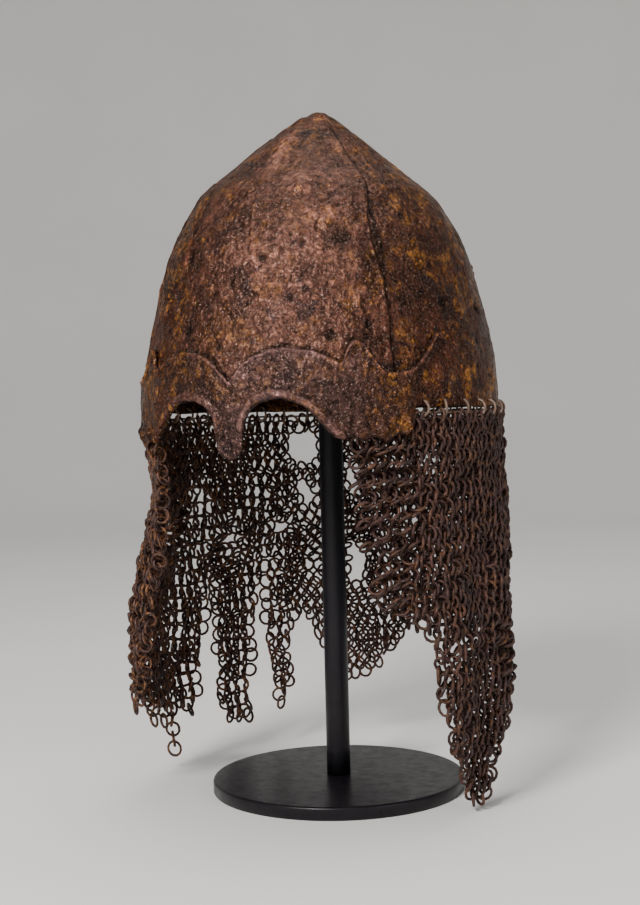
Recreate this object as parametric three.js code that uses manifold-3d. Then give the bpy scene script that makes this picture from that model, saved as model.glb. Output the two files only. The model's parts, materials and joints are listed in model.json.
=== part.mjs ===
// An iron helmet of riveted plates with a brow mask and a torn curtain of rings, on its display stand.
// Millimetres, +Z up. The face looks along -Y, and the wearer's left is +X.
// The origin is the middle of the underside of the stand's foot, on the post's own axis.
import * as THREE from "three";
import { mergeVertices } from "three/addons/utils/BufferGeometryUtils.js";
import Module from "manifold-3d";

const wasm = await Module();
wasm.setup();

// Skull of the helmet
const rimHeight = 240; // the skull's lower edge above the ground
const skullHeight = 187; // from that edge to the point
const rimHalfWidth = 110;
const rimHalfLength = 121;
const skullPlate = 1.8; // thickness of the four skull plates
const gap = 0.3; // what touching pieces keep between them
const fullTurn = 360; // turns are in degrees from the nose, towards the wearer's left
const frontSeam = 48.8; // turn of the front plate's edge
const seamOverlap = 4; // degrees that a side plate runs on under its neighbour
const capReach = 8; // how far the tip cap comes down over the plates
const tipWidth = 6.4; // the blunt end of the tip

// Brow mask
const browPlate = 1.8; // its thickness
const browRise = 44; // its highest point above the rim
const cheekDrop = 16; // how far its cheek edges come below the rim
const nasalDrop = 27; // how far the nose guard comes below the rim
const nasalWidth = 17.4;
const eyeCorner = [29, 33]; // turns where the skull's edge comes down behind the mask
const eyeRise = 0.27; // how far that edge rises over the eyes, as a share of browRise
const cheekEnd = 53.8; // turn of the mask's rear lower corner
const eyeBandWidth = 6;
const eyeBandHeight = 1.6; // how proud the rims round the eyes stand
const lobeHole = 3.4; // the rivet hole in each side lobe
const lobeTurn = 37.5;
const lobeRise = 0.74; // share of browRise

// Loops and wire that carry the rings
const loopsEachSide = 14;
const firstLoop = 58.5; // its turn
const stepsToRearSeam = 7.3; // loop steps from the first loop to the rear plate's edge
const loopRadius = 4.2; // to the middle of its wire
const loopWire = 1.3;
const holeRise = 3.2; // the loop holes above the rim
const holeClearance = 0.5;
const hangingWire = 1.3;

// Curtain of rings
const mailThickness = 4;
const mailLength = 228; // from its upper edge to the lowest ring
const mailFlare = 13; // how far it swings out at its widest
const foldDepth = 2.6;

// Stand
const postWidth = 15;
const padFootShare = 0.2; // share of the skull's height, from the point down, at which the pad ends
const padTopShare = 0.07;
const padDepth = 9;
const padClearance = 0.5; // between the pad and the flats of the plates
const baseRadius = 80;
const baseThickness = 8;
const baseChamfer = 1.5;
const helmetShift = new THREE.Vector2(-3, -1.5); // the helmet sits a little off the post's axis

// Half the skull's outline, as shares of its height and of its half width.
const skullOutline = [
  { down: 0, out: 0.02 },
  { down: 0.02, out: 0.075 },
  { down: 0.1, out: 0.275 },
  { down: 0.2, out: 0.475 },
  { down: 0.28, out: 0.638 },
  { down: 0.33, out: 0.703 },
  { down: 0.4, out: 0.775 },
  { down: 0.5, out: 0.85 },
  { down: 0.6, out: 0.897 },
  { down: 0.72, out: 0.944 },
  { down: 0.85, out: 0.984 },
  { down: 0.93, out: 0.997 },
  { down: 1, out: 1 },
];

// Upper edge of the brow mask from the nose outwards: an arch over each eye, a small lobe and a horn.
const browTop = [
  { turn: 0, rise: 0.36 },
  { turn: 1.5, rise: 0.44 },
  { turn: 4, rise: 0.58 },
  { turn: 7, rise: 0.67 },
  { turn: 12, rise: 0.76 },
  { turn: 18, rise: 0.795 },
  { turn: 25, rise: 0.73 },
  { turn: 30, rise: 0.63 },
  { turn: 33.3, rise: 0.56 },
  { turn: 34.5, rise: 0.72 },
  { turn: 36, rise: 0.84 },
  { turn: 37.7, rise: 0.875 },
  { turn: 40, rise: 0.81 },
  { turn: 42.2, rise: 0.65 },
  { turn: 45, rise: 0.48 },
  { turn: 49.4, rise: 0.44 },
  { turn: 54, rise: 0.47 },
  { turn: 57, rise: 0.57 },
  { turn: 61, rise: 0.74 },
  { turn: 64.5, rise: 0.92 },
  { turn: 66.4, rise: 1 },
  { turn: 67.6, rise: 0.97 },
];

// Lower edge of the nose guard, as shares of its half width and of its drop.
const nasalEdge = [
  { across: 0, drop: 1 },
  { across: 0.45, drop: 0.975 },
  { across: 0.72, drop: 0.9 },
  { across: 0.86, drop: 0.78 },
  { across: 0.96, drop: 0.58 },
  { across: 1, drop: 0.42 },
];

// Lower edge of the mask beyond it, as shares of the cheek drop: the eye, the cheek and the rear edge.
const eyeEdge = [
  { turn: 5, fall: 0.42 },
  { turn: 5.7, fall: 0.22 },
  { turn: 7, fall: -0.03 },
  { turn: 9, fall: -0.2 },
  { turn: 12, fall: -0.33 },
  { turn: 15.7, fall: -0.375 },
  { turn: 19.5, fall: -0.27 },
  { turn: 23, fall: -0.03 },
  { turn: 26, fall: 0.34 },
  { turn: 28.5, fall: 0.72 },
  { turn: 31, fall: 1 },
];
const cheekEdge = [
  { turn: 33.5, fall: 1.08 },
  { turn: 36.5, fall: 0.95 },
  { turn: 41, fall: 1.02 },
  { turn: 45.8, fall: 1.1 },
  { turn: 50, fall: 0.92 },
  { turn: 53.8, fall: 0.9 },
  { turn: 54.8, fall: 0 },
  { turn: 56, fall: -0.7 },
  { turn: 58.5, fall: -1.2 },
  { turn: 61.5, fall: -1.6 },
  { turn: 64.6, fall: -2 },
  { turn: 67.8, fall: -2.4 },
];

// Lowest ring of each column of the curtain, as a share of its length, from the front edge to the back.
const mailLeftEdge = [
  { turn: 38, drop: 0.2 },
  { turn: 40.5, drop: 0.42 },
  { turn: 43.5, drop: 0.43 },
  { turn: 48, drop: 0.455 },
  { turn: 53.5, drop: 0.48 },
  { turn: 58, drop: 0.56 },
  { turn: 61, drop: 0.75 },
  { turn: 65, drop: 0.85 },
  { turn: 71, drop: 0.88 },
  { turn: 75, drop: 0.97 },
  { turn: 78.5, drop: 1 },
  { turn: 82, drop: 0.97 },
  { turn: 88, drop: 0.9 },
  { turn: 93, drop: 0.8 },
  { turn: 100, drop: 0.71 },
  { turn: 107, drop: 0.67 },
  { turn: 114, drop: 0.64 },
  { turn: 126, drop: 0.59 },
  { turn: 131, drop: 0.68 },
  { turn: 136, drop: 0.69 },
  { turn: 141, drop: 0.58 },
  { turn: 152, drop: 0.65 },
  { turn: 164, drop: 0.62 },
  { turn: 170, drop: 0.67 },
  { turn: 175, drop: 0.68 },
  { turn: 179.9, drop: 0.68 },
];
const mailRightEdge = [
  { turn: 40, drop: 0.18 },
  { turn: 44, drop: 0.36 },
  { turn: 48, drop: 0.58 },
  { turn: 53, drop: 0.7 },
  { turn: 58, drop: 0.75 },
  { turn: 61, drop: 0.79 },
  { turn: 64.5, drop: 0.74 },
  { turn: 69, drop: 0.75 },
  { turn: 73, drop: 0.82 },
  { turn: 78, drop: 0.8 },
  { turn: 83, drop: 0.84 },
  { turn: 87, drop: 0.97 },
  { turn: 89.5, drop: 1 },
  { turn: 92.5, drop: 0.9 },
  { turn: 96.5, drop: 0.92 },
  { turn: 99.5, drop: 0.74 },
  { turn: 102, drop: 0.6 },
  { turn: 104.5, drop: 0.48 },
  { turn: 107, drop: 0.62 },
  { turn: 110, drop: 0.88 },
  { turn: 115, drop: 0.94 },
  { turn: 120, drop: 0.92 },
  { turn: 122.5, drop: 0.75 },
  { turn: 125, drop: 0.54 },
  { turn: 127.5, drop: 0.52 },
  { turn: 129.5, drop: 0.82 },
  { turn: 132.5, drop: 0.91 },
  { turn: 135.5, drop: 0.83 },
  { turn: 138, drop: 0.62 },
  { turn: 141.5, drop: 0.59 },
  { turn: 145, drop: 0.66 },
  { turn: 148.5, drop: 0.75 },
  { turn: 152, drop: 0.62 },
  { turn: 155.5, drop: 0.78 },
  { turn: 160, drop: 0.84 },
  { turn: 170, drop: 0.77 },
  { turn: 179.9, drop: 0.68 },
];

// Tears in the curtain: the middle as a turn and a share of the length, and half sizes in the same units.
const mailLeftTears = [
  { turn: 46.8, drop: 0.1, across: 1.7, high: 0.016 },
  { turn: 47.2, drop: 0.26, across: 1.5, high: 0.014 },
  { turn: 54, drop: 0.265, across: 1.7, high: 0.012 },
  { turn: 55, drop: 0.41, across: 1.5, high: 0.016 },
  { turn: 42.4, drop: 0.325, across: 1.1, high: 0.015 },
  { turn: 128, drop: 0.2, across: 4.5, high: 0.055 },
  { turn: 143, drop: 0.34, across: 4, high: 0.045 },
  { turn: 166, drop: 0.15, across: 5, high: 0.06 },
];
const mailRightTears = [
  { turn: 143, drop: 0.085, across: 6.2, high: 0.062 },
  { turn: 144.5, drop: 0.228, across: 3.6, high: 0.03 },
  { turn: 134, drop: 0.33, across: 3.7, high: 0.032 },
  { turn: 114.3, drop: 0.297, across: 2.3, high: 0.022 },
  { turn: 98, drop: 0.215, across: 3.6, high: 0.017 },
  { turn: 161, drop: 0.19, across: 3.2, high: 0.062 },
  { turn: 161, drop: 0.465, across: 3.4, high: 0.072 },
  { turn: 74, drop: 0.3, across: 3, high: 0.03 },
];

const radians = THREE.MathUtils.degToRad;
const smooth = THREE.MathUtils.smoothstep;

// Value of one column of a table at any place, with a smooth curve or straight lines between its rows.
function tableAt(rows, key, place, column, straight = false) {
  const last = rows.length - 1;
  if (place <= rows[0][key]) return rows[0][column];
  if (place >= rows[last][key]) return rows[last][column];
  let i = 0;
  while (rows[i + 1][key] < place) i++;
  const a = rows[i];
  const b = rows[i + 1];
  const span = b[key] - a[key];
  const s = (place - a[key]) / span;
  if (straight) return a[column] + s * (b[column] - a[column]);
  const before = rows[Math.max(i - 1, 0)];
  const after = rows[Math.min(i + 2, last)];
  const slopeA = (b[column] - before[column]) / (b[key] - before[key]);
  const slopeB = (after[column] - a[column]) / (after[key] - a[key]);
  const rest = s * s * (3 - 2 * s);
  return (
    a[column] + rest * (b[column] - a[column]) +
    span * slopeA * s * (1 - s) * (1 - s) - span * slopeB * s * s * (1 - s)
  );
}

// Point of the skull's outer surface at a turn and a height, moved out along the surface by lift.
// Below the rim the surface goes straight down.
function skullPoint(turn, height, lift = 0) {
  const at = (t, z) => {
    const down = (rimHeight + skullHeight - z) / skullHeight;
    const out = tableAt(skullOutline, "down", Math.min(down, 1), "out");
    const angle = radians(t);
    return new THREE.Vector3(
      rimHalfWidth * out * Math.sin(angle), -rimHalfLength * out * Math.cos(angle), z,
    );
  };
  const step = 0.5;
  const upper = Math.min(height + step, rimHeight + skullHeight - step);
  const lower = height - step;
  const middle = at(turn, height);
  if (lift === 0) return middle;
  const along = at(turn + step, height).sub(at(turn - step, height));
  const up = at(turn, upper).sub(at(turn, lower));
  return middle.addScaledVector(along.cross(up).normalize(), lift);
}

// Closed solid between two grids of points. outer[i][j] and inner[i][j] are column i, row j.
function gridSolid(outer, inner) {
  const columns = outer.length;
  const rows = outer[0].length;
  const points = [...outer.flat(), ...inner.flat()];
  const index = [];
  const at = (side, i, j) => side * columns * rows + i * rows + j;
  const quad = (a, b, c, d) => index.push(a, b, c, a, c, d);
  for (let i = 0; i < columns - 1; i++) {
    for (let j = 0; j < rows - 1; j++) {
      quad(at(0, i, j), at(0, i + 1, j), at(0, i + 1, j + 1), at(0, i, j + 1));
      quad(at(1, i, j), at(1, i, j + 1), at(1, i + 1, j + 1), at(1, i + 1, j));
    }
    quad(at(1, i, 0), at(1, i + 1, 0), at(0, i + 1, 0), at(0, i, 0));
    quad(at(0, i, rows - 1), at(0, i + 1, rows - 1), at(1, i + 1, rows - 1), at(1, i, rows - 1));
  }
  for (let j = 0; j < rows - 1; j++) {
    quad(at(0, 0, j), at(0, 0, j + 1), at(1, 0, j + 1), at(1, 0, j));
    quad(at(1, columns - 1, j), at(1, columns - 1, j + 1), at(0, columns - 1, j + 1), at(0, columns - 1, j));
  }
  const geometry = new THREE.BufferGeometry().setFromPoints(points);
  geometry.setIndex(index);
  return geometry;
}

function toSolid(geometry) {
  const bare = geometry.index ? geometry.toNonIndexed() : geometry.clone();
  bare.deleteAttribute("normal");
  bare.deleteAttribute("uv");
  const merged = mergeVertices(bare, 1e-3);
  return new wasm.Manifold(
    new wasm.Mesh({
      numProp: 3,
      vertProperties: merged.attributes.position.array,
      triVerts: new Uint32Array(merged.index.array),
    }),
  );
}

function toGeometry(solid) {
  const mesh = solid.getMesh();
  const geometry = new THREE.BufferGeometry();
  geometry.setAttribute("position", new THREE.BufferAttribute(mesh.vertProperties, mesh.numProp));
  geometry.setIndex(new THREE.BufferAttribute(mesh.triVerts, 1));
  return geometry;
}

function cutAway(geometry, tools) {
  const solid = tools.reduce((rest, tool) => rest.subtract(toSolid(tool)), toSolid(geometry));
  return toGeometry(solid);
}

// A prism that goes radially through the wall at a turn and a height. Its outline's X runs along the wall.
function radialPrism(outline, turn, height, depth) {
  const prism = new THREE.ExtrudeGeometry(outline, { depth, bevelEnabled: false, curveSegments: 6 });
  prism.translate(0, 0, -depth / 2);
  prism.rotateX(Math.PI / 2);
  const place = skullPoint(turn, height);
  prism.rotateZ(Math.atan2(place.x / rimHalfWidth ** 2, -place.y / rimHalfLength ** 2));
  return prism.translate(place.x, place.y, place.z);
}

const roundOutline = (radius, sides) => {
  const outline = new THREE.Shape();
  for (let i = 0; i < sides; i++) {
    const angle = (2 * Math.PI * i) / sides;
    outline[i ? "lineTo" : "moveTo"](radius * Math.cos(angle), radius * Math.sin(angle));
  }
  return outline;
};

// Turns of the loops on one side, and the seams that lie between them.
const loopStep = (fullTurn / 2 - firstLoop) / loopsEachSide;
const rearSeam = firstLoop + stepsToRearSeam * loopStep;
const holeRadius = loopWire / 2 + holeClearance;

const evenly = (from, to, count) =>
  Array.from({ length: count + 1 }, (_, i) => from + ((to - from) * i) / count);

// Heights where a skull plate has its rows, as shares of the way down from its top to its lower edge.
const plateRows = [0, 0.1, 0.2, 0.275, 0.35, 0.45, 0.58, 0.72, 0.87, 1];
const plateTop = 0.025; // share of the skull's height where the plates begin, under the tip cap

// Lower edge of the skull: it rises over the eyes, behind the mask.
function skullEdge(turn) {
  const beside = smooth(Math.abs(turn), ...eyeCorner);
  return rimHeight + eyeRise * browRise * (1 - beside);
}

const layerLift = -(skullPlate + gap); // the side plates lie one plate further in

function skullWall(from, to, columns, lift) {
  const top = rimHeight + skullHeight * (1 - plateTop);
  const face = (depth) =>
    evenly(from, to, columns).map((turn) => {
      const foot = skullEdge(turn > fullTurn / 2 ? turn - fullTurn : turn);
      const heights = plateRows.map((share) => foot + (1 - share) * (top - foot)).reverse();
      return heights.map((height) => skullPoint(turn, height, lift - depth));
    });
  return gridSolid(face(0), face(skullPlate));
}

function loopTurns() {
  const side = Array.from({ length: loopsEachSide }, (_, i) => firstLoop + i * loopStep);
  return [...side, fullTurn / 2, ...side.map((turn) => fullTurn - turn).reverse()];
}

// The loop holes that fall on a plate between two turns.
function loopHoles(from, to) {
  return loopTurns()
    .filter((turn) => turn > from && turn < to)
    .map((turn) => radialPrism(roundOutline(holeRadius, 6), turn, rimHeight + holeRise, 8 * skullPlate));
}

const frontPlate = () => skullWall(-frontSeam, frontSeam, 12, 0);
const rearPlate = () => {
  const end = fullTurn - rearSeam;
  return cutAway(skullWall(rearSeam, end, 14, 0), loopHoles(rearSeam, end));
};

function sidePlate(side) {
  const near = frontSeam - seamOverlap;
  const far = rearSeam + seamOverlap;
  const [from, to] = side > 0 ? [near, far] : [fullTurn - far, fullTurn - near];
  return cutAway(skullWall(from, to, 10, layerLift), loopHoles(from, to));
}

// The tip cap: a blunt cone over the plates' upper ends, with a plug that fills the hole between them.
function apexCap() {
  const top = rimHeight + skullHeight;
  const radiusAt = (height, lift) => skullPoint(90, height, lift).x;
  const skirt = top - capReach;
  const plugTop = top - plateTop * skullHeight;
  const plug = radiusAt(plugTop, layerLift - skullPlate) - gap;
  const profile = [
    [0, skirt + 0.3 * capReach],
    [plug, skirt + 0.3 * capReach],
    [plug, plugTop + gap],
    [radiusAt(plugTop, gap), plugTop + gap],
    [radiusAt(skirt, gap), skirt],
    [radiusAt(skirt, gap + skullPlate), skirt],
    [radiusAt(top - 0.42 * capReach, gap + skullPlate), top - 0.42 * capReach],
    [0.9 * tipWidth, top - 0.24 * capReach],
    [tipWidth / 2, top + 0.03 * capReach],
    [0, top + 0.05 * capReach],
  ];
  const cap = new THREE.LatheGeometry(profile.map(([r, z]) => new THREE.Vector2(r, z)), 12);
  cap.rotateX(Math.PI / 2);
  return cap.scale(1, rimHalfLength / rimHalfWidth, 1);
}

// Brow mask
const nasalTurn = THREE.MathUtils.radToDeg(Math.asin(nasalWidth / 2 / rimHalfWidth));

function browFoot(turn) {
  const away = Math.abs(turn);
  if (away <= nasalTurn) {
    return rimHeight - nasalDrop * tableAt(nasalEdge, "across", away / nasalTurn, "drop", true);
  }
  return rimHeight - cheekDrop * tableAt([...eyeEdge, ...cheekEdge], "turn", away, "fall", true);
}

const browHead = (turn) => rimHeight + browRise * tableAt(browTop, "turn", Math.abs(turn), "rise", true);

// Distance along the surface from the edge of the nearer eye.
function eyeDistance(turn, height) {
  const scale = radians(1) * rimHalfLength;
  const edge = eyeEdge.map((row) => new THREE.Vector2(row.turn * scale, rimHeight - cheekDrop * row.fall));
  const place = new THREE.Vector2(Math.abs(turn) * scale, height);
  return Math.min(...edge.slice(1).map((end, i) => {
    const start = edge[i];
    const along = end.clone().sub(start);
    const share = THREE.MathUtils.clamp(place.clone().sub(start).dot(along) / along.lengthSq(), 0, 1);
    return start.clone().addScaledVector(along, share).distanceTo(place);
  }));
}

// The mask lies on the front plate, and beyond its edge on the side plate below it.
const browSeat = (turn) => gap + layerLift * smooth(Math.abs(turn), frontSeam + 0.4, frontSeam + 2.4);

function browMask() {
  const half = [
    ...nasalEdge.map((row) => row.across * nasalTurn),
    ...eyeEdge.map((row) => row.turn),
    ...browTop.slice(6).map((row) => row.turn),
    frontSeam + 2.4, 54.8, 55.6, 59.5, 63,
  ].sort((a, b) => a - b).filter((turn, i, all) => i === 0 || turn - all[i - 1] > 0.3);
  const turns = [...half.slice(1).map((turn) => -turn).reverse(), ...half];
  const shares = [0, 0.12, 0.24, 0.42, 0.7, 1];
  const face = (thickness) =>
    turns.map((turn) => {
      const foot = browFoot(turn);
      const head = browHead(turn);
      return shares.map((share) => {
        const height = foot + share * (head - foot);
        const proud = 1 - smooth(eyeDistance(turn, height), eyeBandWidth - 1.5, eyeBandWidth + 1);
        const lift = browSeat(turn) + thickness + (thickness > 0 ? eyeBandHeight * proud : 0);
        return skullPoint(turn, height, lift);
      });
    });
  const holeHeight = rimHeight + lobeRise * browRise;
  const hole = roundOutline(lobeHole / 2, 8);
  const holes = [-1, 1].map((side) => radialPrism(hole, side * lobeTurn, holeHeight, 6 * browPlate));
  return cutAway(gridSolid(face(browPlate), face(0)), holes);
}

// Loops and the wire through them. Both follow the middle of the wall that the loops hang in.
const wallMiddle = (turn) => {
  const away = turn > fullTurn / 2 ? fullTurn - turn : turn;
  const rear = smooth(away, rearSeam - seamOverlap, rearSeam + seamOverlap);
  return layerLift * (1 - rear) - skullPlate / 2;
};
const loopMiddle = rimHeight + holeRise - loopRadius;
const loopSides = 10;
const loopBottom = loopMiddle - loopRadius - loopWire / 2;
const wireHeight = loopMiddle -
  (loopRadius * Math.cos(Math.PI / loopSides) - loopWire / 2 - hangingWire / 2 - gap);

function hangerLoop(turn) {
  const loop = new THREE.TorusGeometry(loopRadius, loopWire / 2, 5, loopSides);
  loop.rotateX(Math.PI / 2);
  const place = skullPoint(turn, rimHeight, wallMiddle(turn));
  loop.rotateZ(Math.atan2(place.y, place.x));
  return loop.translate(place.x, place.y, loopMiddle);
}

function hangingWireGeometry() {
  const start = firstLoop - 2.5;
  const turns = evenly(start, fullTurn - start, 40);
  const points = turns.map((turn) => skullPoint(turn, wireHeight, wallMiddle(turn)));
  const path = new THREE.CatmullRomCurve3(points);
  return new THREE.ExtrudeGeometry(roundOutline(hangingWire / 2, 6), { steps: 44, extrudePath: path });
}

// Curtain: its upper edge is just under the loops, and under the mask's cheeks where it reaches them.
// Beside the mask's rear corner it hangs lower, so that it clears the corner on its way up to the loops.
function mailTopAt(away) {
  const free = loopBottom - gap;
  if (away >= firstLoop - 1) return free;
  const underMask = browFoot(Math.min(away, cheekEnd)) - gap;
  return Math.min(free, away > cheekEnd - 2 ? underMask - 0.4 * cheekDrop : underMask);
}

// How far the curtain swings out from under the rim at a turn and a depth below its upper edge.
function mailSwing(turn, depth, side) {
  const share = depth / mailLength;
  const fold = foldDepth * Math.sin(radians(turn * 13)) * smooth(share, 0.04, 0.35);
  const beside = Math.exp(-(((turn - 70) / 38) ** 2));
  const curve = side > 0
    ? 0.62 * smooth(share, 0.12, 0.62) - 0.55 * smooth(share, 0.68, 0.95)
    : smooth(share, 0.2, 0.6) - 0.35 * smooth(share, 0.03, 0.16) + 0.35 * smooth(share, 0.2, 0.5);
  return mailFlare * curve * beside + fold;
}

function mailHalf(side, edge, tears) {
  const shares = evenly(0, 1, 6);
  const face = (depthIn) =>
    edge.map((row) => {
      const top = mailTopAt(row.turn);
      const foot = rimHeight + holeRise - 2 * loopRadius - mailLength * row.drop;
      const column = shares.map((share) => {
        const height = foot + share * (top - foot);
        const lift = wallMiddle(row.turn) + mailSwing(row.turn, top - height, side) - depthIn;
        const point = skullPoint(row.turn, Math.min(height, rimHeight), lift);
        return new THREE.Vector3(side * point.x, point.y, height);
      });
      return column;
    });
  const outer = face(-mailThickness / 2);
  const inner = face(mailThickness / 2);
  const sheet = side > 0 ? gridSolid(outer, inner) : gridSolid(outer.reverse(), inner.reverse());
  const cuts = tears.map((tear, number) => {
    const wide = radians(tear.across) * rimHalfLength;
    const high = tear.high * mailLength;
    const outline = new THREE.Shape();
    const corners = 6;
    for (let i = 0; i < corners; i++) {
      const angle = (2 * Math.PI * (i + 0.3 * Math.sin(number + 2 * i))) / corners;
      const ragged = 1 + 0.14 * Math.sin(3 * number + 2.4 * i);
      outline[i ? "lineTo" : "moveTo"](wide * ragged * Math.cos(angle), high * ragged * Math.sin(angle));
    }
    return radialPrism(outline, side * tear.turn, loopBottom - mailLength * tear.drop, 5 * mailFlare);
  });
  return cutAway(sheet, cuts);
}

// Stand
const padLift = 2 * layerLift - padClearance;

function standPad() {
  const height = (down) => rimHeight + skullHeight * (1 - down);
  const rows = [padTopShare, (padTopShare + padFootShare) / 2, padFootShare];
  const slope = rows.map((down) => {
    const point = skullPoint(90, height(down), padLift);
    return new THREE.Vector2(point.x, point.z);
  });
  const lowest = slope[2];
  const profile = [
    new THREE.Vector2(0, lowest.y - padDepth / 2),
    new THREE.Vector2(0.8 * lowest.x, lowest.y - padDepth / 2),
    lowest, slope[1], slope[0],
    new THREE.Vector2(0, slope[0].y),
  ];
  const pad = new THREE.LatheGeometry(profile, 24);
  pad.rotateX(Math.PI / 2);
  return pad.scale(1, rimHalfLength / rimHalfWidth, 1);
}

const padBottom = skullPoint(90, rimHeight + skullHeight * (1 - padFootShare), padLift).z - padDepth / 2;

function standPost() {
  const foot = baseThickness + gap;
  const head = padBottom - gap;
  const post = new THREE.CylinderGeometry(postWidth / 2, postWidth / 2, head - foot, 16);
  post.rotateX(Math.PI / 2);
  return post.translate(0, 0, (head + foot) / 2);
}

function standBase() {
  const profile = [
    [0, 0],
    [baseRadius - baseChamfer / 3, 0],
    [baseRadius, baseChamfer / 3],
    [baseRadius, baseThickness - baseChamfer],
    [baseRadius - baseChamfer, baseThickness],
    [0, baseThickness],
  ];
  const base = new THREE.LatheGeometry(profile.map(([r, z]) => new THREE.Vector2(r, z)), 24);
  return base.rotateX(Math.PI / 2);
}

const finish = (color, roughness, metalness) => new THREE.MeshStandardMaterial({ color, roughness, metalness });
const materials = {
  skull: () => finish(0x5b4238, 0.45, 0.7),
  brow: () => finish(0x66524b, 0.45, 0.7),
  loop: () => finish(0x5c4c42, 0.5, 0.7),
  mail: () => finish(0x3a231c, 0.75, 0.5),
  stand: () => finish(0x0c0b0d, 0.4, 0.1),
};

function piece(name, geometry, material) {
  geometry.computeVertexNormals();
  const mesh = new THREE.Mesh(geometry, material());
  mesh.name = name;
  return mesh;
}

const helmet = new THREE.Group();
helmet.position.set(helmetShift.x, helmetShift.y, 0);
helmet.add(
  piece("skull_front_plate", frontPlate(), materials.skull),
  piece("skull_rear_plate", rearPlate(), materials.skull),
  piece("skull_left_plate", sidePlate(1), materials.skull),
  piece("skull_right_plate", sidePlate(-1), materials.skull),
  piece("apex_cap", apexCap(), materials.skull),
  piece("brow_plate", browMask(), materials.brow),
  piece("hanging_wire", hangingWireGeometry(), materials.loop),
  piece("mail_left", mailHalf(1, mailLeftEdge, mailLeftTears), materials.mail),
  piece("mail_right", mailHalf(-1, mailRightEdge, mailRightTears), materials.mail),
  piece("stand_pad", standPad(), materials.stand),
);
loopTurns().forEach((turn, i) => {
  const number = String(i + 1).padStart(2, "0");
  helmet.add(piece("hanger_loop_" + number, hangerLoop(turn), materials.loop));
});

const stand = new THREE.Group();
stand.add(
  piece("stand_post", standPost(), materials.stand),
  piece("stand_base", standBase(), materials.stand),
);

const object = new THREE.Group();
object.add(helmet, stand);

export default object;
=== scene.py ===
"""Looks of the iron helmet with its curtain of rings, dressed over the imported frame.

Metres, +Z up, face along -Y.
"""
import json
import math

import bpy
import numpy as np
from mathutils import Matrix, Vector

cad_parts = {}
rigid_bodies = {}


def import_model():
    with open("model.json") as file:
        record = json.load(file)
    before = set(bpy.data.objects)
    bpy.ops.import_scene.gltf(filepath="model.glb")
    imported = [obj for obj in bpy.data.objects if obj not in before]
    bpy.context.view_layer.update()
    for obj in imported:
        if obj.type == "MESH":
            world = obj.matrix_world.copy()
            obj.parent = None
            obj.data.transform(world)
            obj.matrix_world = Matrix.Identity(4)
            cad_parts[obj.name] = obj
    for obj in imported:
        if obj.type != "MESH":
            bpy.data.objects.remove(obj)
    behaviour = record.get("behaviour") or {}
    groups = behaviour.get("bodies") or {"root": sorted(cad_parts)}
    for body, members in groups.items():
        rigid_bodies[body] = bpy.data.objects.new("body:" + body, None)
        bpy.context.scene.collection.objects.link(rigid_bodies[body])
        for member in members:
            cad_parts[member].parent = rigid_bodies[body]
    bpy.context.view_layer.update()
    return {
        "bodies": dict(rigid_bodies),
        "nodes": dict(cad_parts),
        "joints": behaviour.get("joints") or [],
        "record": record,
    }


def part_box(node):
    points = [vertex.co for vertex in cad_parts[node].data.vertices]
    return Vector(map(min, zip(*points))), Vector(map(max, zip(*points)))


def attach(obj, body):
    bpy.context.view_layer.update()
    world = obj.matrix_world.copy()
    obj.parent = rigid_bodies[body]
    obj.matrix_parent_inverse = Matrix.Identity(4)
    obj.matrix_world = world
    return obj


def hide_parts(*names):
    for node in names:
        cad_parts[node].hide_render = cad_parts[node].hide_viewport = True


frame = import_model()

MM = 0.001
rng = np.random.default_rng(1042)

# Sizes that the solids have too, in millimetres. Turns are degrees from the nose, to the left.
RIM_HEIGHT = 240.0
SKULL_HEIGHT = 187.0
SKULL_TOP = RIM_HEIGHT + SKULL_HEIGHT
RIM_HALF_WIDTH = 110.0
RIM_HALF_LENGTH = 121.0
SKULL_PLATE = 1.8
GAP = 0.3
FRONT_SEAM = 48.8
SEAM_OVERLAP = 4.0
PLATE_TOP = 0.025
BROW_PLATE = 1.8
BROW_RISE = 44.0
CHEEK_DROP = 16.0
NASAL_DROP = 27.0
NASAL_WIDTH = 17.4
EYE_BAND_WIDTH = 6.0
EYE_BAND_HEIGHT = 1.6
LOOPS_EACH_SIDE = 14
FIRST_LOOP = 58.5
LOOP_RADIUS = 4.2
LOOP_WIRE = 1.3
HOLE_RISE = 3.2
HANGING_WIRE = 1.3
MAIL_LENGTH = 228.0
MAIL_FLARE = 13.0
FOLD_DEPTH = 2.6
POST_WIDTH = 15.0
BASE_RADIUS = 80.0
BASE_THICKNESS = 8.0
HELMET_SHIFT = np.array([-3.0, -1.5, 0.0])
LAYER = -(SKULL_PLATE + GAP)
LOOP_STEP = (180 - FIRST_LOOP) / LOOPS_EACH_SIDE
REAR_SEAM = FIRST_LOOP + 7.3 * LOOP_STEP
LOOP_MIDDLE = RIM_HEIGHT + HOLE_RISE - LOOP_RADIUS
LOOP_BOTTOM = LOOP_MIDDLE - LOOP_RADIUS - LOOP_WIRE / 2
LOOP_INSIDE = LOOP_RADIUS * math.cos(math.pi / 10) - LOOP_WIRE / 2
WIRE_HEIGHT = LOOP_MIDDLE - (LOOP_INSIDE - HANGING_WIRE / 2 - GAP)

# Outline of the skull: share of its height from the point down, share of its half width.
SKULL_OUTLINE = [
    (0, .02), (.02, .075), (.1, .275), (.2, .475), (.28, .638), (.33, .703), (.4, .775),
    (.5, .85), (.6, .897), (.72, .944), (.85, .984), (.93, .997), (1, 1)]
# Upper edge of the mask: degrees from the nose, share of the mask's rise.
BROW_TOP = [
    (0, .36), (1.5, .44), (4, .58), (7, .67), (12, .76), (18, .795), (25, .73), (30, .63),
    (33.3, .56), (34.5, .72), (36, .84), (37.7, .875), (40, .81), (42.2, .65), (45, .48),
    (49.4, .44), (54, .47), (57, .57), (61, .74), (64.5, .92), (66.4, 1), (67.6, .97)]
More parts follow.
